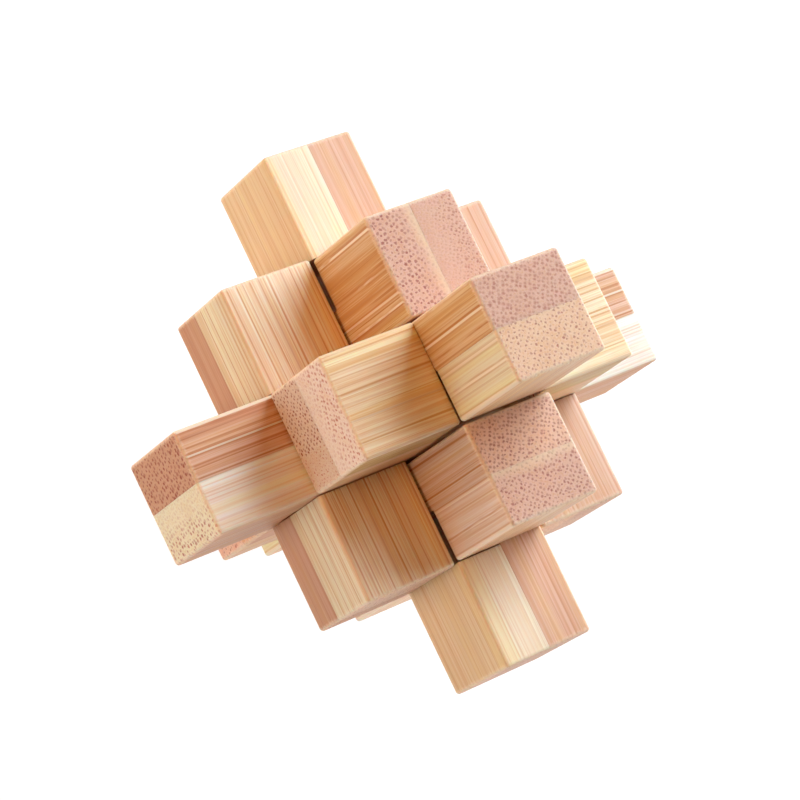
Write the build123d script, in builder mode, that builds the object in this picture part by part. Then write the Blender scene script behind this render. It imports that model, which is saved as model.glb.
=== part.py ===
"""Nine-bar bamboo burr puzzle.

Three long bars and six short bars of one square section cross in three directions.
Every bar passes through the centre line of the bars it crosses, so each crossing is
shared by notches, which the closed puzzle hides. The three long bars are identical, and
so are the six short ones. Each bar is glued up from bamboo strips, one solid per strip.

+Z is up, and the puzzle stands on the lower end of its upright long bar, at the origin.
"""

from build123d import *
import os

os.makedirs("parts", exist_ok=True)

# Driving dimensions, mm
pitch = 13.0  # from one bar's centre line to the next
bar_width = 12.7  # side of every bar's square section
long_length = 65.6
short_length = 39.4
edge_round = 0.45  # sanded edges and corners
half_gap = 0.1  # a half notch stops this far beyond the bar's centre line

# Glue lines that are off the bar's centre line, mm
left_seam = -1.3
top_seam = -1.9

# A notch is cut by a block one bar wide, moved this far off the bar's centre line
cut_shift = bar_width / 2 - half_gap
cut_width = bar_width + 2

# The bars run along each plane's normal, and X turns into Y, Y into Z and Z into X
centre = (0, 0, long_length / 2)
along_x = Plane(origin=centre, x_dir=(0, 1, 0), z_dir=(1, 0, 0))
along_y = Plane(origin=centre, x_dir=(0, 0, 1), z_dir=(0, 1, 0))
along_z = Plane(origin=centre, x_dir=(1, 0, 0), z_dir=(0, 0, 1))


def long_bar(plane):
    """A bar through the middle, with a wide notch for three bars and one notch across it."""
    with BuildPart() as bar:
        with BuildSketch(plane):
            Rectangle(bar_width, bar_width)
        extrude(amount=long_length / 2, both=True)
        fillet(bar.edges(), edge_round)
        with BuildSketch(plane):
            with Locations((0, -cut_shift)):
                Rectangle(cut_width, bar_width)
        extrude(amount=1.5 * pitch, both=True, mode=Mode.SUBTRACT)
        with BuildSketch(plane):
            with Locations((cut_shift, 0)):
                Rectangle(bar_width, cut_width)
        extrude(amount=pitch / 2, both=True, mode=Mode.SUBTRACT)
    return bar.part


def short_bar(plane, side):
    """A bar beside the middle, whose two notches leave a neck on its inner edge."""
    with BuildPart() as bar:
        with BuildSketch(plane):
            with Locations((0, side * pitch)):
                Rectangle(bar_width, bar_width)
        extrude(amount=short_length / 2, both=True)
        fillet(bar.edges(), edge_round)
        with BuildSketch(plane):
            with Locations((cut_shift, side * pitch)):
                Rectangle(bar_width, cut_width)
            with Locations((0, side * (pitch + cut_shift))):
                Rectangle(cut_width, bar_width)
        extrude(amount=pitch / 2, both=True, mode=Mode.SUBTRACT)
    return bar.part


def seam(direction, distance=0.0):
    """A glue line's plane, at a distance from the puzzle's middle along a direction."""
    return Plane(origin=centre, z_dir=direction).offset(distance)


def glued_strip(name, bar, *cuts):
    """Saves the strip of a bar that is left on the kept side of each seam."""
    with BuildPart() as strip:
        add(bar)
        for plane, side in cuts:
            split(bisect_by=plane, keep=side)
    strip.part.label = name
    export_step(strip.part, f"parts/{name}.step")


x_way = (1, 0, 0)
y_way = (0, 1, 0)
z_way = (0, 0, 1)
above = Keep.TOP
below = Keep.BOTTOM

# Long bars
long_x = long_bar(along_x)
glued_strip("long_bar_x_front_strip", long_x, (seam(y_way), below))
glued_strip("long_bar_x_back_strip", long_x, (seam(y_way), above))

long_y = long_bar(along_y)
glued_strip("long_bar_y_left_strip", long_y, (seam(x_way), below))
glued_strip("long_bar_y_right_strip", long_y, (seam(x_way), above))

long_z = long_bar(along_z)
glued_strip("long_bar_z_front_strip", long_z, (seam(y_way), below))
glued_strip("long_bar_z_back_strip", long_z, (seam(y_way), above))

# Short bars, named by the side of the puzzle that they stand on
top_x = short_bar(along_x, 1)
glued_strip("top_bar_outer_strip", top_x, (seam(z_way, pitch), above))
inner_half = (seam(z_way, pitch), below)
glued_strip("top_bar_inner_back_strip", top_x, inner_half, (seam(y_way, top_seam), above))
glued_strip("top_bar_inner_front_strip", top_x, inner_half, (seam(y_way, top_seam), below))

bottom_x = short_bar(along_x, -1)
glued_strip("bottom_bar_outer_strip", bottom_x, (seam(z_way, -pitch), below))
glued_strip("bottom_bar_inner_strip", bottom_x, (seam(z_way, -pitch), above))

right_y = short_bar(along_y, 1)
glued_strip("right_bar_outer_strip", right_y, (seam(x_way, pitch), above))
glued_strip("right_bar_inner_strip", right_y, (seam(x_way, pitch), below))

left_y = short_bar(along_y, -1)
glued_strip("left_bar_lower_strip", left_y, (seam(z_way, left_seam), below))
glued_strip("left_bar_upper_strip", left_y, (seam(z_way, left_seam), above))

back_z = short_bar(along_z, 1)
glued_strip("back_bar_left_strip", back_z, (seam(x_way), below))
glued_strip("back_bar_right_strip", back_z, (seam(x_way), above))

front_z = short_bar(along_z, -1)
glued_strip("front_bar_outer_strip", front_z, (seam(y_way, -pitch), below))
glued_strip("front_bar_inner_strip", front_z, (seam(y_way, -pitch), above))
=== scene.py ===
"""The looks of a burr puzzle of nine square bamboo bars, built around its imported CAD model."""

import math
import random

import bpy
import numpy as np
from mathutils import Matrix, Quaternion, Vector


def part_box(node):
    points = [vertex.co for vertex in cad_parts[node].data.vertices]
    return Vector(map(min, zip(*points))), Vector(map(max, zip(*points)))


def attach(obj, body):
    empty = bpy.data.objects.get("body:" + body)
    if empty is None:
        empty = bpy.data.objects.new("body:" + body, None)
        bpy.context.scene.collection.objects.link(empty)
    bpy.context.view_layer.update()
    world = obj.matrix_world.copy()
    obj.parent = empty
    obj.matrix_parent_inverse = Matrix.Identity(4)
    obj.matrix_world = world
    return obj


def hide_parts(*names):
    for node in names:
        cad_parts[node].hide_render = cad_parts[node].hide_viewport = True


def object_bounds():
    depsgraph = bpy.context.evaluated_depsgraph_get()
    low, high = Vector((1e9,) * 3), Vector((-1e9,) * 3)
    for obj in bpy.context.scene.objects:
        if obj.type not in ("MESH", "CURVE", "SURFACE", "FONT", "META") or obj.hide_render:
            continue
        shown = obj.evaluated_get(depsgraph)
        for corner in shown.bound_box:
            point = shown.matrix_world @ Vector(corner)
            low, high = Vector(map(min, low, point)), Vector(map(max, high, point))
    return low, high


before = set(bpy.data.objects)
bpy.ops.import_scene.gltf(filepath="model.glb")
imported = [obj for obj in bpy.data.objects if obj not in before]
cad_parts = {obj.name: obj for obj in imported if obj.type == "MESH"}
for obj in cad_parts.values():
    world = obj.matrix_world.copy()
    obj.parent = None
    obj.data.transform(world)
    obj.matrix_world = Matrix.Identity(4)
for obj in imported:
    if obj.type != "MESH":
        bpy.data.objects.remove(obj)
cad_low, cad_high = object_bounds()

# ---------------------------------------------------------------- sizes, in metres, most from the frame
MM = 0.001
X, Y, Z = 0, 1, 2


def strip_box(*names):
    """Lowest and highest corner of several CAD nodes together."""
    boxes = [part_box(name) for name in names]
    low = np.min([list(b[0]) for b in boxes], axis=0)
    high = np.max([list(b[1]) for b in boxes], axis=0)
    return low, high


long_z_low, long_z_high = strip_box("long_bar_z_front_strip", "long_bar_z_back_strip")
top_low, top_high = strip_box("top_bar_outer_strip", "top_bar_inner_back_strip")
CENTRE = (long_z_low + long_z_high) / 2
HALF_WIDTH = (long_z_high - long_z_low)[X] / 2
HALF_LONG = (long_z_high - long_z_low)[Z] / 2
HALF_SHORT = (top_high - top_low)[X] / 2
PITCH = top_high[Z] - CENTRE[Z] - HALF_WIDTH
EDGE_ROUND = 0.45 * MM
HALF_GAP = 0.1 * MM
# The notches are a little tighter than the CAD's. At its limit a short bar comes within 0.1 mm of a wide
# notch's wall in the CAD, so that notch gives up only half as much.
SNUG = 0.1 * MM
NARROW_HALF = PITCH / 2 - SNUG
WIDE_HALF = 3 * PITCH / 2 - SNUG / 2

# ---------------------------------------------------------------- the nine bars
# A bar has two axes across it, u and v, and one along it. The three directions of bar are the
# same bar turned about the cube's diagonal, so u and v follow the along axis in a cycle.
BAR_AXES = {X: (Y, Z), Y: (Z, X), Z: (X, Y)}
BARS = {
    "long_bar_x": {"along": X, "side": 0, "body": "long_bars"},
    "long_bar_y": {"along": Y, "side": 0, "body": "long_bars"},
    "long_bar_z": {"along": Z, "side": 0, "body": "long_bars"},
    "top_bar": {"along": X, "side": 1, "body": "top_bar"},
    "bottom_bar": {"along": X, "side": -1, "body": "bottom_bar"},
    "right_bar": {"along": Y, "side": 1, "body": "right_bar"},
    "left_bar": {"along": Y, "side": -1, "body": "left_bar"},
    "back_bar": {"along": Z, "side": 1, "body": "back_bar"},
    "front_bar": {"along": Z, "side": -1, "body": "front_bar"},
}


def bar_of(node):
    """The bar that a strip's CAD node belongs to."""
    return next(name for name in BARS if node.startswith(name))


def notched(bar, u, v, s):
    """True where the bar is cut away, for arrays of places measured from the puzzle's middle."""
    if bar["side"] == 0:
        wide = (v < HALF_GAP) & (abs(s) < WIDE_HALF)
        narrow = (u > -HALF_GAP) & (abs(s) < NARROW_HALF)
        return wide | narrow
    inner = (bar["side"] * v > PITCH - HALF_GAP) | (u > -HALF_GAP)
    return inner & (abs(s) < NARROW_HALF)


# ---------------------------------------------------------------- strip meshes
ROUND_STEPS = 4
FIBRE_WIDTHS = (0.20 * MM, 0.46 * MM)
ALONG_STEP = 2.4 * MM
RIM = 0.12 * MM
RIM_SANDED = 0.3 * RIM
PLANED_DEPTH = 0.012 * MM
PORE_CHANCE = 0.16
PORE_DEPTHS = (0.02 * MM, 0.05 * MM)
END_DEPTH = 0.02 * MM
SHARP_ANGLE = math.radians(38)
SAME_PLACE = 1e-7


def round_lines(half):
    """Grid lines over the rounded edges at both ends of -half..half, evenly turned round the arc."""
    quarter = math.pi / 4
    reach = [EDGE_ROUND * math.tan(quarter * i / ROUND_STEPS) for i in range(ROUND_STEPS + 1)]
    outer = [half - EDGE_ROUND + r for r in reach]
    return outer + [-x for x in outer]


def fibre_lines(low, high, rng):
    """Unevenly spaced lines from low to high, one at each side of a fibre."""
    lines = [low]
    while lines[-1] < high - FIBRE_WIDTHS[1]:
        lines.append(lines[-1] + rng.uniform(*FIBRE_WIDTHS))
    lines[-1] = high
    return lines


def grid_lines(fixed, loose, low, high, apart):
    """The fixed lines inside low..high and its ends, with every loose line that is clear of them."""
    kept = sorted({round(x, 8) for x in [low, high, *fixed] if low - SAME_PLACE <= x <= high + SAME_PLACE})
    extra = [x for x in loose if low < x < high and min(abs(x - k) for k in kept) > apart]
    return np.array(sorted(kept + extra))


def cross_lines(cut, low, high, rng):
    """Grid lines over one axis across the bar, in places measured from the bar's middle line."""
    fixed = round_lines(HALF_WIDTH) + [cut - RIM, cut, cut + RIM]
    loose = fibre_lines(-HALF_WIDTH + EDGE_ROUND, HALF_WIDTH - EDGE_ROUND, rng)
    return grid_lines(fixed, loose, low, high, 0.5 * FIBRE_WIDTHS[0])


def along_lines(half, low, high):
    """Grid lines along the bar, closer at the rounded ends and at the notch walls."""
    walls = [sign * half_notch for sign in (-1, 1) for half_notch in (NARROW_HALF, WIDE_HALF)]
    fixed = round_lines(half) + [x + d for x in walls for d in (-RIM, 0, RIM)]
    count = round(2 * half / ALONG_STEP)
    loose = [-half + 2 * half * i / count for i in range(1, count)]
    return grid_lines(fixed, loose, low, high, 0.3 * ALONG_STEP)


def boundary_quads(kept):
    """The outside faces of the kept cells, as corner grid indices, wound outwards."""
    padded = np.pad(kept, 1)
    quads, normals = [], []
    for axis in range(3):
        b, c = [(axis + 1) % 3, (axis + 2) % 3]
        here = np.take(padded, range(padded.shape[axis] - 1), axis=axis)
        there = np.take(padded, range(1, padded.shape[axis]), axis=axis)
        for sign, faces in ((1, here & ~there), (-1, there & ~here)):
            cells = np.argwhere(faces)
            base = cells.copy()
            for other in (b, c):
                base[:, other] -= 1
            corners = []
            for db, dc in ((0, 0), (1, 0), (1, 1), (0, 1)):
                corner = base.copy()
                corner[:, b] += db
                corner[:, c] += dc
                corners.append(corner)
            if sign < 0:
                corners.reverse()
            quads.append(np.stack(corners, axis=1))
            normal = np.zeros((len(base), 3))
            normal[:, axis] = sign
            normals.append(normal)
    return np.concatenate(quads), np.concatenate(normals)


def rounded(points, half_sizes):
    """Points of a sharp box moved so that its edges and corners are round."""
    core = half_sizes - EDGE_ROUND
    nearest = np.clip(points, -core, core)
    away = points - nearest
    flat = np.abs(away).max(axis=1)
    length = np.linalg.norm(away, axis=1)
    scale = np.where(length > 1e-12, flat / np.maximum(length, 1e-12), 1.0)
    return nearest + away * scale[:, None]


def fibre_dips(lines, rng):
    """How deep each line across a bar lies under the planed face: mostly shallow, with a few pores."""
    dips = rng.uniform(0.0, PLANED_DEPTH, len(lines))
    pores = rng.random(len(lines)) < PORE_CHANCE
    dips[pores] += rng.uniform(*PORE_DEPTHS, pores.sum())
    dips[np.abs(lines) > HALF_WIDTH - EDGE_ROUND] = 0
    return dips


def relief(points, facing, wood, limits, seams, dips):
    """How far each point moves off the sharp bar: planed fibre relief on the outer faces and
    lightly sanded rims round the notches. facing says which of the six ways a point's faces look, and
    wood says how many of the eight cells round it are wood."""
    signs = (facing[:, :3].astype(int) - facing[:, 3:].astype(int))
    seen = facing[:, :3] | facing[:, 3:]
    outer = seen & (np.abs(np.abs(points) - limits) < SAME_PLACE)
    ends = np.where(signs > 0, seams[1], seams[0])
    glued = seen & ~outer & (np.abs(points - ends) < SAME_PLACE)
    wall = seen & ~outer & ~glued
    rim = (wood <= 2) & wall.any(axis=1) & ((outer | wall).sum(axis=1) >= 2)
    push = np.zeros_like(points)
    push -= signs * outer * dips
    push -= signs * (outer | wall) * rim[:, None] * RIM_SANDED
    return push


def make_strip(node):
    """One glued strip of a bar, with rounded edges, planed fibre relief and open pores."""
    name = bar_of(node)
    bar = BARS[name]
    along, side = bar["along"], bar["side"]
    u_axis, v_axis = BAR_AXES[along]
    # The strips of a bar share a seed, so that the same fibre lines run through them.
    rng = np.random.default_rng(sum(ord(c) * (i + 1) for i, c in enumerate(name)))
    middle = side * PITCH
    low, high = strip_box(node)
    shift = np.array([0.0, middle, 0.0])
    low = (low - CENTRE)[[u_axis, v_axis, along]] - shift
    high = (high - CENTRE)[[u_axis, v_axis, along]] - shift
    half = HALF_SHORT if side else HALF_LONG
    u_lines = cross_lines(-HALF_GAP, low[0], high[0], rng)
    v_lines = cross_lines(-side * HALF_GAP if side else HALF_GAP, low[1], high[1], rng)
    s_lines = along_lines(half, low[2], high[2])

    mids = [(lines[1:] + lines[:-1]) / 2 for lines in (u_lines, v_lines, s_lines)]
    u, v, s = np.meshgrid(*mids, indexing="ij")
    kept = ~notched(bar, u, v + middle, s)
    quads, normals = boundary_quads(kept)

    shape = (len(u_lines), len(v_lines), len(s_lines))
    flat = quads @ np.array([shape[1] * shape[2], shape[2], 1])
    used, faces = np.unique(flat, return_inverse=True)
    faces = faces.reshape(flat.shape)
    i, j, k = np.unravel_index(used, shape)
    points = np.stack([u_lines[i], v_lines[j], s_lines[k]], axis=1)

    facing = np.zeros((len(used), 6), bool)
    for axis in range(3):
        facing[np.unique(faces[normals[:, axis] > 0]), axis] = True
        facing[np.unique(faces[normals[:, axis] < 0]), axis + 3] = True
    padded = np.pad(kept, 1)
    corners = [(di, dj, dk) for di in (0, 1) for dj in (0, 1) for dk in (0, 1)]
    wood = sum(padded[i + di, j + dj, k + dk].astype(int) for di, dj, dk in corners)

    # The relief is deeper and shallower by turns along the bar.
    swell = 0.65 + 0.35 * np.sin(points[:, 2] / (7.3 * MM) + 9.0 * points[:, 0] / HALF_WIDTH)
    u_dips, v_dips = fibre_dips(u_lines, rng), fibre_dips(v_lines, rng)
    end_dips = rng.uniform(0, END_DEPTH, len(points))
    dips = np.stack([v_dips[j] * swell, u_dips[i] * swell, end_dips], axis=1)
    limits = np.array([HALF_WIDTH, HALF_WIDTH, half])
    points = rounded(points, limits) + relief(points, facing, wood, limits, (low, high), dips)

    place = np.zeros_like(points)
    place[:, [u_axis, v_axis, along]] = points + shift
    mesh = bpy.data.meshes.new(node + "_wood")
    mesh.from_pydata((place + CENTRE).tolist(), [], faces.tolist())
    mesh.polygons.foreach_set("use_smooth", [True] * len(mesh.polygons))
    mesh.set_sharp_from_angle(angle=SHARP_ANGLE)
    mesh.update()
    piece = bpy.data.objects.new(node + "_wood", mesh)
    bpy.context.scene.collection.objects.link(piece)
    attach(piece, bar["body"])
    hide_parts(node)
    return piece


# ---------------------------------------------------------------- bamboo
def srgb(*channels):
    """A colour given as 0 to 255 on a display, as linear light with alpha."""
    parts = [c / 255 for c in channels]
    linear = [p / 12.92 if p <= 0.04045 else ((p + 0.055) / 1.055) ** 2.4 for p in parts]
    return (*linear, 1.0)


class Nodes:
    """Short ways to add shader nodes to one material."""

    def __init__(self, material):
        material.use_nodes = True
        self.tree = material.node_tree
        self.tree.nodes.clear()

    def add(self, kind, inputs=None, **settings):
        node = self.tree.nodes.new("ShaderNode" + kind)
        for key, value in settings.items():
            setattr(node, key, value)
        for key, value in (inputs or {}).items():
            if isinstance(value, bpy.types.NodeSocket):
                self.tree.links.new(value, node.inputs[key])
            else:
                node.inputs[key].default_value = value
        return node

    def maths(self, operation, a, b=0.0, clamp=False):
        return self.add("Math", {0: a, 1: b}, operation=operation, use_clamp=clamp).outputs[0]

    def vector(self, operation, a, b):
        return self.add("VectorMath", {0: a, 1: b}, operation=operation).outputs[0]

    def ramp(self, value, low, high):
        """0 below low and 1 above high, eased between them, or the other way round."""
        kinds = {"interpolation_type": "SMOOTHSTEP", "clamp": True}
        if low < high:
            return self.add("MapRange", {0: value, 1: low, 2: high, 3: 0.0, 4: 1.0}, **kinds).outputs[0]
        return self.add("MapRange", {0: value, 1: high, 2: low, 3: 1.0, 4: 0.0}, **kinds).outputs[0]

    def mix(self, factor, a, b):
        node = self.add("Mix", data_type="RGBA")
        sockets = {s.identifier: s for s in node.inputs}
        for key, value in (("Factor_Float", factor), ("A_Color", a), ("B_Color", b)):
            if isinstance(value, bpy.types.NodeSocket):
                self.tree.links.new(value, sockets[key])
            else:
                sockets[key].default_value = value
        return next(s for s in node.outputs if s.identifier == "Result_Color")

    def noise(self, place, scales, offset, detail=2.0, roughness=0.5):
        """Noise with its own scale along each axis of place."""
        moved = self.vector("ADD", self.vector("MULTIPLY", place, scales), offset)
        inputs = {"Vector": moved, "Scale": 1.0, "Detail": detail, "Roughness": roughness}
        return self.add("TexNoise", inputs)


# How far the grain wanders and how ragged the bundles are, in millimetres, and the width and strength of
# the painted highlight along the edges
WARP = 0.22
RAGGED = 0.42
HIGHLIGHT_WIDTHS = (0.62, 0.18)
HIGHLIGHT_STRENGTH = 0.45

# Factors for each channel of a strip's own tone
DARK_STREAK = (0.86, 0.64, 0.43)
DEEP_STREAK = (0.70, 0.42, 0.22)
LIGHT_STREAK = (1.10, 1.20, 1.35)
YELLOW_TINT = (1.02, 1.01, 0.84)
PINK_TINT = (1.00, 0.93, 0.97)

# The tones of bamboo, in round numbers, as 0 to 255 on a display
TONES = {
    "milk": (255, 250, 240),
    "ivory": (250, 235, 205),
    "shell": (225, 210, 195),
    "cream": (250, 230, 190),
    "straw": (220, 215, 185),
    "sand": (235, 200, 165),
    "rose": (230, 190, 160),
    "blush": (220, 180, 155),
    "putty": (210, 190, 170),
    "wheat": (220, 200, 160),
    "honey": (210, 180, 135),
    "salmon": (215, 165, 130),
    "russet": (190, 150, 120),
    "pale_dot": (185, 125, 105),
    "rosy_dot": (170, 105, 90),
    "dark_dot": (145, 75, 55),
    "pale_line": (240, 230, 210),
    # The pale tone of the painted highlight along the bar's outer edges
    "rim": (245, 235, 210),
}

# How each strip looks. "u" and "v" name the tones of the faces square to those axes, "end" that of the
# end grain and "dots" that of the fibre bundles on it. "spacing" is the millimetres between bundles
# along u and v, "size" a bundle's width over that distance, "turn" how far their pattern is turned in
# degrees and "blur" how soft their edges are. "fade" makes bundles faint towards one side and "cream"
# makes the end grain creamy there, each as (axis across, from, to) in millimetres. "streaks",
# "lines" and "grooves" say how strong the broad streaks, thin pale lines and thin dark lines are.
# Each face's tone is partly the bamboo's own colour across and along the grain and partly painted light
# and shade, since it was matched to how bright that face looks under these lights.
LOOKS = {
    "long_bar_x_back_strip": {
        "u": "salmon", "v": "rose", "end": "russet", "dots": "dark_dot",
        "spacing": (0.68, 0.60), "size": 0.68, "turn": 24,
        "streaks": 0.6, "lines": 0.9, "grooves": 0.8,
    },
    "long_bar_x_front_strip": {
        "u": "salmon", "v": "milk", "end": "straw", "dots": "rosy_dot",
        "spacing": (0.66, 0.62), "size": 0.64, "turn": 12, "fade": (0, -1.5, -5.0),
        "streaks": 0.2, "lines": 0.6, "grooves": 0.4,
    },
    "long_bar_y_left_strip": {
        "u": "ivory", "v": "wheat", "end": "blush", "dots": "pale_dot",
        "spacing": (0.74, 0.66), "size": 0.42, "turn": 18,
        "streaks": 0.18, "lines": 0.2, "grooves": 0.25,
    },
    "long_bar_y_right_strip": {
        "u": "rose", "v": "rose", "end": "blush", "dots": "rosy_dot",
        "spacing": (0.76, 0.68), "size": 0.46, "turn": 31,
        "streaks": 0.25, "lines": 0.1, "grooves": 0.3,
    },
    "long_bar_z_front_strip": {
        "u": "straw", "v": "sand", "end": "sand", "dots": "pale_dot",
        "spacing": (0.62, 0.56), "size": 0.50, "turn": 38, "blur": 0.7,
        "streaks": 0.22, "lines": 0.6, "grooves": 0.4,
    },
    "long_bar_z_back_strip": {
        "u": "honey", "v": "salmon", "end": "blush", "dots": "pale_dot",
        "spacing": (0.58, 0.52), "size": 0.70, "turn": 27, "blur": 0.9,
        "streaks": 0.5, "lines": 0.7, "grooves": 1.0,
    },
    "top_bar_outer_strip": {
        "u": "honey", "v": "cream", "end": "shell", "dots": "pale_dot",
        "spacing": (0.66, 0.58), "size": 0.62, "turn": 62, "fade": (1, 0.6, 3.6),
        "streaks": 0.5, "lines": 0.3, "grooves": 0.5,
    },
    "top_bar_inner_back_strip": {
        "u": "salmon", "v": "salmon", "end": "putty", "dots": "dark_dot",
        "spacing": (0.60, 0.54), "size": 0.58, "turn": 35,
        "streaks": 0.5, "lines": 0.3,
    },
    "top_bar_inner_front_strip": {
        "u": "sand", "v": "sand", "end": "putty", "dots": "pale_dot",
        "spacing": (0.60, 0.54), "size": 0.42, "turn": 35,
        "streaks": 0.4, "lines": 0.2,
    },
    "bottom_bar_outer_strip": {
        "u": "sand", "v": "sand", "end": "blush", "dots": "rosy_dot",
        "spacing": (0.78, 0.68), "size": 0.46, "turn": 20,
        "streaks": 0.45, "lines": 0.5,
    },
    "bottom_bar_inner_strip": {
        "u": "salmon", "v": "salmon", "end": "salmon", "dots": "rosy_dot",
        "spacing": (0.72, 0.62), "size": 0.48, "turn": 52,
        "streaks": 0.6, "lines": 0.4,
    },
    "right_bar_outer_strip": {
        "u": "rose", "v": "blush", "end": "blush", "dots": "rosy_dot",
        "spacing": (0.76, 0.66), "size": 0.46, "turn": 15,
        "streaks": 0.25, "lines": 0.2, "grooves": 0.2,
    },
    "right_bar_inner_strip": {
        "u": "rose", "v": "sand", "end": "rose", "dots": "pale_dot",
        "spacing": (0.74, 0.66), "size": 0.44, "turn": 40,
        "streaks": 0.25, "lines": 0.3, "grooves": 0.2,
    },
    "left_bar_upper_strip": {
        "u": "ivory", "v": "straw", "end": "rose", "dots": "pale_dot",
        "spacing": (0.74, 0.66), "size": 0.44, "turn": 22,
        "streaks": 0.45, "lines": 0.3, "grooves": 0.7,
    },
    "left_bar_lower_strip": {
        "u": "salmon", "v": "russet", "end": "salmon", "dots": "rosy_dot",
        "spacing": (0.70, 0.62), "size": 0.48, "turn": 48,
        "streaks": 0.2, "lines": 0.1, "grooves": 0.3,
    },
    "back_bar_left_strip": {
        "u": "honey", "v": "sand", "end": "blush", "dots": "rosy_dot",
        "spacing": (0.64, 0.56), "size": 0.62, "turn": 66, "fade": (0, 0.6, -3.6),
        "cream": (0, -1.6, -0.1), "streaks": 0.7, "lines": 1.0, "grooves": 0.4,
    },
    "back_bar_right_strip": {
        "u": "sand", "v": "sand", "end": "blush", "dots": "pale_dot",
        "spacing": (0.52, 0.46), "size": 0.62, "turn": 30, "blur": 0.8, "fade": (0, 0.8, 5.0),
        "streaks": 0.4, "lines": 0.4,
    },
    "front_bar_outer_strip": {
        "u": "shell", "v": "sand", "end": "blush", "dots": "rosy_dot",
        "spacing": (0.58, 0.52), "size": 0.60, "turn": 41, "blur": 0.7,
        "cream": (1, -1.5, -0.2), "streaks": 0.3, "lines": 0.6, "grooves": 0.7,
    },
    "front_bar_inner_strip": {
        "u": "putty", "v": "salmon", "end": "rose", "dots": "rosy_dot",
        "spacing": (0.56, 0.50), "size": 0.62, "turn": 28, "blur": 0.8,
        "streaks": 0.5, "lines": 0.3, "grooves": 1.0,
    },
}


def across_and_along(nodes, bar):
    """Where a point is, as (u, v, s) in millimetres from the bar's middle, and how much its surface
    looks along u, v and s."""
    coordinates = nodes.add("TexCoord")
    spots = nodes.add("SeparateXYZ", {0: coordinates.outputs["Object"]}).outputs
    turns = nodes.add("SeparateXYZ", {0: coordinates.outputs["Normal"]}).outputs
    middle = list(CENTRE)
    u_axis, v_axis = BAR_AXES[bar["along"]]
    middle[v_axis] += bar["side"] * PITCH
    order = (u_axis, v_axis, bar["along"])
    away = [nodes.maths("SUBTRACT", spots[a], middle[a]) for a in order]
    parts = [nodes.maths("MULTIPLY", x, 1 / MM) for x in away]
    place = nodes.add("CombineXYZ", dict(enumerate(parts))).outputs[0]
    facing = [nodes.maths("ABSOLUTE", turns[a]) for a in order]
    return place, parts, facing


def tinted(nodes, colour, factors):
    """A colour, given or from a node, times one factor for each channel."""
    plain = colour[:3] if isinstance(colour, tuple) else colour
    return nodes.vector("MULTIPLY", plain, factors)


def share(nodes, mask, amount):
    """A mask made weaker or stronger, and never more than 1."""
    return nodes.maths("MULTIPLY", mask, amount, True)


def centred(nodes, colours, reach):
    """Noise colours as a shift of up to half of reach each way."""
    return nodes.vector("MULTIPLY", nodes.vector("SUBTRACT", colours, (0.5, 0.5, 0.5)), reach)


def fibre_bundles(nodes, look, parts, place, grain, somewhere):
    """How much a bundle of fibre, and the paler wood round it, shows at a point across the bar."""
    spacing_u, spacing_v = look["spacing"]
    ragged = nodes.noise(place, (3.2, 3.2, 0.3), somewhere(), 2.0).outputs["Color"]
    turned = nodes.add("Mapping", {
        "Vector": nodes.vector("ADD", grain, centred(nodes, ragged, (RAGGED, RAGGED, 0.0))),
        "Location": somewhere(),
        "Rotation": (0.0, 0.0, math.radians(look["turn"])),
        "Scale": (1 / spacing_u, 1 / spacing_v, 1.0),
    }).outputs[0]
    inputs = {"Vector": turned, "Scale": 1.0, "Randomness": 0.56}
    cells = nodes.add("TexVoronoi", inputs, voronoi_dimensions="2D", feature="F1")
    chance = nodes.add("SeparateColor", {0: cells.outputs["Color"]}).outputs
    radius = nodes.maths("MULTIPLY", chance[0], 0.20 * look["size"])
    radius = nodes.maths("ADD", radius, 0.34 * look["size"])
    depth = nodes.maths("DIVIDE", cells.outputs["Distance"], radius)
    blur = look.get("blur", 0.5)
    bundles = nodes.ramp(depth, 1.0 + blur, 1.0 - blur)
    halo = nodes.ramp(depth, 2.4, 1.5)
    strength = nodes.maths("ADD", nodes.maths("MULTIPLY", chance[1], 0.5), 0.5)
    bundles = nodes.maths("MULTIPLY", bundles, strength)
    if "fade" in look:
        axis, faint, clear = look["fade"]
        shown = nodes.ramp(parts[axis], faint, clear)
        shown = nodes.maths("ADD", nodes.maths("MULTIPLY", shown, 0.70), 0.30)
        bundles = nodes.maths("MULTIPLY", bundles, shown)
    return bundles, halo


def thin_lines(nodes, slant, worn, start, spacing, width, portion):
    """Straight lines along the bar at uneven distances, and the strips of wood beside them."""
    place_across = nodes.maths("ADD", nodes.maths("DIVIDE", slant, spacing), start)
    inputs = {"W": place_across, "Scale": 1.0, "Randomness": 0.85}
    spots = nodes.add("TexVoronoi", inputs, voronoi_dimensions="1D", feature="F1")
    luck = nodes.add("SeparateColor", {0: spots.outputs["Color"]}).outputs
    shown = nodes.ramp(luck[0], 0.92 - portion, 1.08 - portion)
    kept = nodes.ramp(nodes.maths("ADD", worn, luck[1]), 0.45, 0.70)
    shown = nodes.maths("MULTIPLY", shown, kept)
    reach = spots.outputs["Distance"]
    part = width / spacing
    core = nodes.ramp(reach, 0.75 * part, 0.35 * part)
    off_line = nodes.ramp(reach, 0.5 * part, 0.9 * part)
    near_line = nodes.ramp(reach, 2.2 * part, part)
    beside = nodes.maths("MULTIPLY", off_line, near_line)
    return nodes.maths("MULTIPLY", core, shown), nodes.maths("MULTIPLY", beside, shown)


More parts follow.
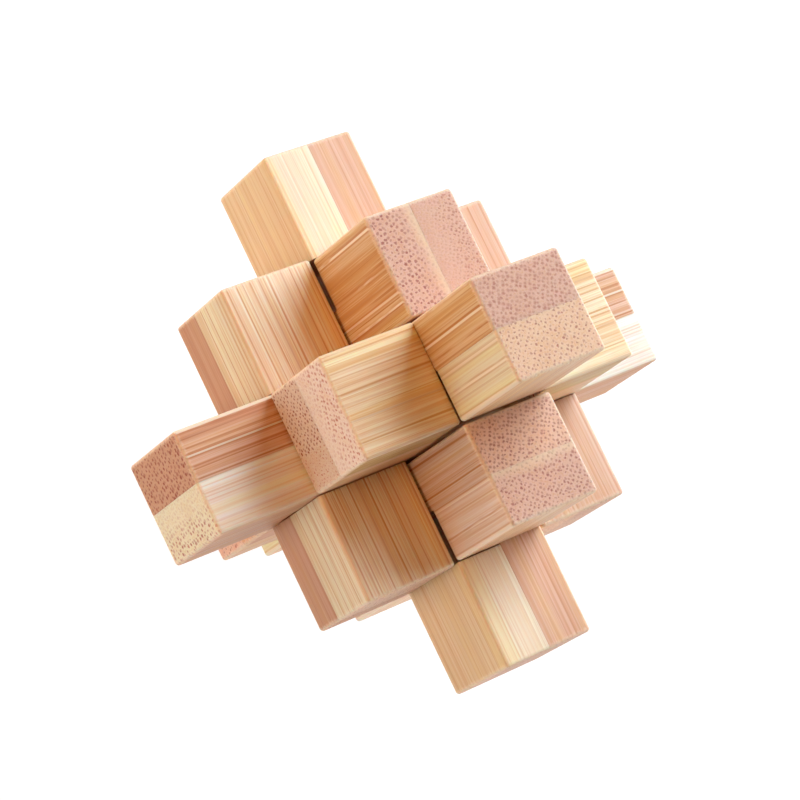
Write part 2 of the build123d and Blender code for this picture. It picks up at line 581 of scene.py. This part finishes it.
def side_wood(nodes, look, rng, place, grain, facing, bundles, somewhere):
    """The colour of the long faces, with streaks along the bar, and how high their fibres stand."""
    fine = nodes.noise(grain, (6.4, 6.4, 0.06), somewhere(), 2.0, 0.6).outputs[0]
    bands = nodes.noise(grain, (1.25, 1.25, 0.012), somewhere(), 3.0, 0.6).outputs[0]
    hues = nodes.noise(grain, (0.42, 0.42, 0.008), somewhere(), 1.0, 0.5).outputs[0]
    cracks = nodes.noise(grain, (3.1, 3.1, 0.022), somewhere(), 1.0, 0.4).outputs[0]
    worn = nodes.noise(place, (0.9, 0.9, 0.16), somewhere(), 2.0, 0.6).outputs[0]
    slant = nodes.add("VectorMath", {0: grain, 1: (0.75, 0.66, 0.0)}, operation="DOT_PRODUCT")
    slant = slant.outputs["Value"]
    pale_line, dark_side = thin_lines(nodes, slant, worn, rng.uniform(10, 90), 1.7, 0.15, 0.75)
    groove, _ = thin_lines(nodes, slant, worn, rng.uniform(10, 90), 0.95, 0.13, 0.7)

    # Partly painted light and shade: the face takes the u or the v tone by which way it faces.
    u_face = nodes.ramp(nodes.maths("SUBTRACT", facing[0], facing[1]), -0.25, 0.25)
    side = nodes.mix(u_face, srgb(*TONES[look["v"]]), srgb(*TONES[look["u"]]))
    streaks, lines, grooves = look["streaks"], look["lines"], look.get("grooves", 0.4)

    def blend(mask, amount, colour):
        return nodes.mix(share(nodes, mask, amount), side, colour)

    side = blend(nodes.ramp(hues, 0.50, 0.62), 0.8, tinted(nodes, side, YELLOW_TINT))
    side = blend(nodes.ramp(hues, 0.50, 0.38), 0.3, tinted(nodes, side, PINK_TINT))
    dark, deep, bright = (tinted(nodes, side, f) for f in (DARK_STREAK, DEEP_STREAK, LIGHT_STREAK))
    side = blend(nodes.ramp(bands, 0.46, 0.62), 1.3 * streaks, dark)
    side = blend(nodes.ramp(bands, 0.46, 0.34), 0.15 + 0.9 * streaks, bright)
    side = blend(nodes.ramp(fine, 0.50, 0.64), 0.12 + 0.8 * streaks, dark)
    side = blend(nodes.ramp(fine, 0.48, 0.34), 0.15 + 0.7 * streaks, bright)
    side = blend(bundles, 0.15 + 0.4 * streaks, dark)
    side = blend(nodes.ramp(cracks, 0.60, 0.68), 1.3 * streaks, deep)
    side = blend(groove, grooves, deep)
    side = blend(dark_side, 0.7 * lines, deep)
    side = blend(pale_line, 0.9 * lines, srgb(*TONES["pale_line"]))
    height = nodes.maths("ADD", nodes.maths("MULTIPLY", fine, 0.7), nodes.maths("MULTIPLY", bands, 0.3))
    return side, height, fine


def end_wood(nodes, look, parts, place, bundles, halo, somewhere):
    """The colour of the end grain, with its bundles as dots, and how high its wood stands."""
    pith = nodes.noise(place, (4.2, 4.2, 0.5), somewhere(), 3.0, 0.7).outputs[0]
    patches = nodes.noise(place, (0.35, 0.35, 0.1), somewhere(), 2.0).outputs[0]
    tone = srgb(*TONES[look["end"]])
    dark, bright = (tinted(nodes, tone, f) for f in (DARK_STREAK, LIGHT_STREAK))
    end = nodes.mix(nodes.maths("MULTIPLY", nodes.ramp(patches, 0.45, 0.7), 0.3), tone, dark)
    end = nodes.mix(nodes.maths("MULTIPLY", nodes.ramp(pith, 0.50, 0.66), 0.5), end, dark)
    end = nodes.mix(nodes.maths("MULTIPLY", nodes.ramp(pith, 0.48, 0.34), 0.4), end, bright)
    end = nodes.mix(nodes.maths("MULTIPLY", halo, 0.35), end, bright)
    end = nodes.mix(bundles, end, srgb(*TONES[look["dots"]]))
    if "cream" in look:
        axis, clear, full = look["cream"]
        uneven = nodes.maths("ADD", parts[axis], nodes.maths("MULTIPLY", patches, 1.2))
        band = nodes.ramp(uneven, clear + 0.6, full + 0.6)
        end = nodes.mix(share(nodes, band, 0.4), end, srgb(*TONES["cream"]))
    pith_height = nodes.maths("MULTIPLY", pith, 0.35)
    height = nodes.maths("SUBTRACT", pith_height, nodes.maths("MULTIPLY", bundles, 0.8))
    return end, height, pith


def painted_edge_highlight(nodes, bar, parts, pith):
    """How strongly the painted highlight lightens a point, from its distance to the nearest edge between
    two outer faces.
    """
    half_sizes = (HALF_WIDTH, HALF_WIDTH, HALF_SHORT if bar["side"] else HALF_LONG)
    room = [
        nodes.maths("SUBTRACT", half / MM, nodes.maths("ABSOLUTE", part))
        for half, part in zip(half_sizes, parts)
    ]
    pairs = ((0, 1), (1, 2), (0, 2))
    edges = [nodes.maths("MAXIMUM", room[a], room[b]) for a, b in pairs]
    nearest = nodes.maths("MINIMUM", nodes.maths("MINIMUM", edges[0], edges[1]), edges[2])
    uneven = nodes.maths("MULTIPLY", nodes.maths("SUBTRACT", pith, 0.5), 0.8)
    nearest = nodes.maths("ADD", nearest, uneven)
    return nodes.maths("MULTIPLY", nodes.ramp(nearest, *HIGHLIGHT_WIDTHS), HIGHLIGHT_STRENGTH)


def bamboo(node):
    """The laminated bamboo of one strip: bundles of fibre that show as dots on the ends and as fine
    straight streaks along the sides, in a tone for each face that is partly the wood's own colour and
    partly painted light and shade."""
    look, bar = LOOKS[node], BARS[bar_of(node)]
    rng = random.Random(node)
    material = bpy.data.materials.new("bamboo_" + node)
    nodes = Nodes(material)
    place, parts, facing = across_and_along(nodes, bar)

    def somewhere():
        return tuple(rng.uniform(-50, 50) for _ in range(3))

    wander = nodes.noise(place, (0.16, 0.16, 0.03), somewhere(), 2.0).outputs["Color"]
    grain = nodes.vector("ADD", place, centred(nodes, wander, (2 * WARP, 2 * WARP, 0.0)))
    bundles, halo = fibre_bundles(nodes, look, parts, place, grain, somewhere)
    side, side_height, fine = side_wood(nodes, look, rng, place, grain, facing, bundles, somewhere)
    end, end_height, pith = end_wood(nodes, look, parts, place, bundles, halo, somewhere)

    end_face = nodes.ramp(facing[2], 0.55, 0.85)
    colour = nodes.mix(end_face, side, end)
    # Painted highlight: the colour turns pale in a narrow band along the outer edges
    colour = nodes.mix(painted_edge_highlight(nodes, bar, parts, pith), colour, srgb(*TONES["rim"]))
    heights = {0: end_face, 2: side_height, 3: end_height}
    height = nodes.add("Mix", heights, data_type="FLOAT").outputs[0]
    bump = nodes.add("Bump", {"Strength": 0.35, "Distance": 0.05 * MM, "Height": height})
    rough = nodes.maths("ADD", nodes.maths("MULTIPLY", fine, 0.22), 0.42)
    rough = nodes.maths("ADD", rough, nodes.maths("MULTIPLY", end_face, 0.12), clamp=True)
    shader = nodes.add("BsdfPrincipled", {
        "Base Color": colour,
        "Roughness": rough,
        "Normal": bump.outputs[0],
        "IOR": 1.48,
        "Specular IOR Level": 0.35,
        "Subsurface Weight": 0.3,
        "Subsurface Radius": (1.0, 0.36, 0.14),
        "Subsurface Scale": 0.9 * MM,
    })
    nodes.add("OutputMaterial", {"Surface": shader.outputs[0]})
    return material


for strip in LOOKS:
    wood = make_strip(strip)
    wood.data.materials.append(bamboo(strip))

# ---------------------------------------------------------------- floor, light and camera
ROOM = 1.6
COOL = (0.8, 0.9, 1.0)
WARM = (1.0, 0.6, 0.4)
AMBER = (1.0, 0.7, 0.45)
SOFT_WARM = (1.0, 0.9, 0.8)
EMBER = (1.0, 0.4, 0.1)


def make_floor():
    """A plain white floor that the puzzle stands on, bright enough to look like lit paper."""
    half = ROOM / 2
    corners = [(-half, -half), (half, -half), (half, half), (-half, half)]
    floor_z = cad_low[Z]
    mesh = bpy.data.meshes.new("floor")
    mesh.from_pydata([(x, y, floor_z) for x, y in corners], [], [(0, 1, 2, 3)])
    floor = bpy.data.objects.new("floor", mesh)
    bpy.context.scene.collection.objects.link(floor)
    paper = bpy.data.materials.new("white_paper")
    nodes = Nodes(paper)
    shader = nodes.add("BsdfPrincipled", {
        "Base Color": (0.12, 0.12, 0.12, 1.0),
        "Roughness": 0.9,
        "Emission Color": (1.0, 1.0, 1.0, 1.0),
        "Emission Strength": 0.98,
    })
    nodes.add("OutputMaterial", {"Surface": shader.outputs[0]})
    mesh.materials.append(paper)


def soft_light(name, direction, distance, size, radiance, colour):
    """A square softbox that faces the puzzle, with its distance and size in metres, so bright that it
    adds radiance to a white surface square to it."""
    light = bpy.data.lights.new(name, "AREA")
    light.shape = "SQUARE"
    light.size = size
    light.color = colour
    light.energy = radiance * math.pi ** 2 * distance ** 2
    lamp = bpy.data.objects.new(name, light)
    away = Vector(direction).normalized()
    lamp.location = Vector(CENTRE) + away * distance
    lamp.rotation_mode = "QUATERNION"
    lamp.rotation_quaternion = away.to_track_quat("Z", "Y")
    bpy.context.scene.collection.objects.link(lamp)


def make_lights():
    """A cool key and a weaker cool softbox on the right, and warmer, weaker ones round the puzzle.
    The room itself is dark to the puzzle and white to the eye."""
    world = bpy.data.worlds.new("studio")
    bpy.context.scene.world = world
    world.use_nodes = True
    world.node_tree.nodes["Background"].inputs["Color"].default_value = (1.0, 1.0, 1.0, 1.0)
    world.node_tree.nodes["Background"].inputs["Strength"].default_value = 1.0
    world.cycles_visibility.diffuse = False
    world.cycles_visibility.glossy = False
    soft_light("key", (0.7, 0.5, 1.0), 0.6, 0.3, 0.95, COOL)
    soft_light("right", (1.0, 0.0, 0.45), 0.6, 0.3, 0.60, COOL)
    soft_light("left", (-1.0, 0.0, 0.15), 0.6, 0.3, 0.40, WARM)
    soft_light("back_left", (-0.6, 0.9, 0.25), 0.2, 0.1, 0.30, AMBER)
    soft_light("front_right", (0.6, -0.8, 0.1), 0.6, 0.3, 0.40, SOFT_WARM)
    soft_light("warm_top", (-0.5, 0.1, 1.0), 0.6, 0.3, 0.20, EMBER)


# The camera looks down on the standing puzzle from its front left, and is rolled over. It aims beside the
# puzzle's middle by the offset. Distances are in metres, and the lens is in millimetres.
CAMERA_DISTANCE = 0.373
CAMERA_AZIMUTH = math.radians(-78)
CAMERA_ELEVATION = math.radians(56)
CAMERA_ROLL = math.radians(54)
CAMERA_LENS = 142.5
AIM_OFFSET = (0.0002, 0.0013, 0.0003)


def make_camera():
    camera = bpy.data.objects.new("camera", bpy.data.cameras.new("camera"))
    camera.data.sensor_width = 36.0
    camera.data.lens = CAMERA_LENS
    camera.data.clip_start = 0.01
    camera.data.clip_end = 10.0
    flat = math.cos(CAMERA_ELEVATION)
    back = Vector((
        math.sin(CAMERA_AZIMUTH) * flat,
        -math.cos(CAMERA_AZIMUTH) * flat,
        math.sin(CAMERA_ELEVATION),
    ))
    camera.location = Vector(CENTRE) + back * CAMERA_DISTANCE
    aim = Vector(CENTRE) + Vector(AIM_OFFSET)
    level = (aim - camera.location).to_track_quat("-Z", "Y")
    camera.rotation_mode = "QUATERNION"
    camera.rotation_quaternion = level @ Quaternion((0, 0, 1), CAMERA_ROLL)
    bpy.context.scene.collection.objects.link(camera)
    bpy.context.scene.camera = camera


make_floor()
make_lights()
make_camera()
bpy.context.scene.view_settings.view_transform = "Standard"
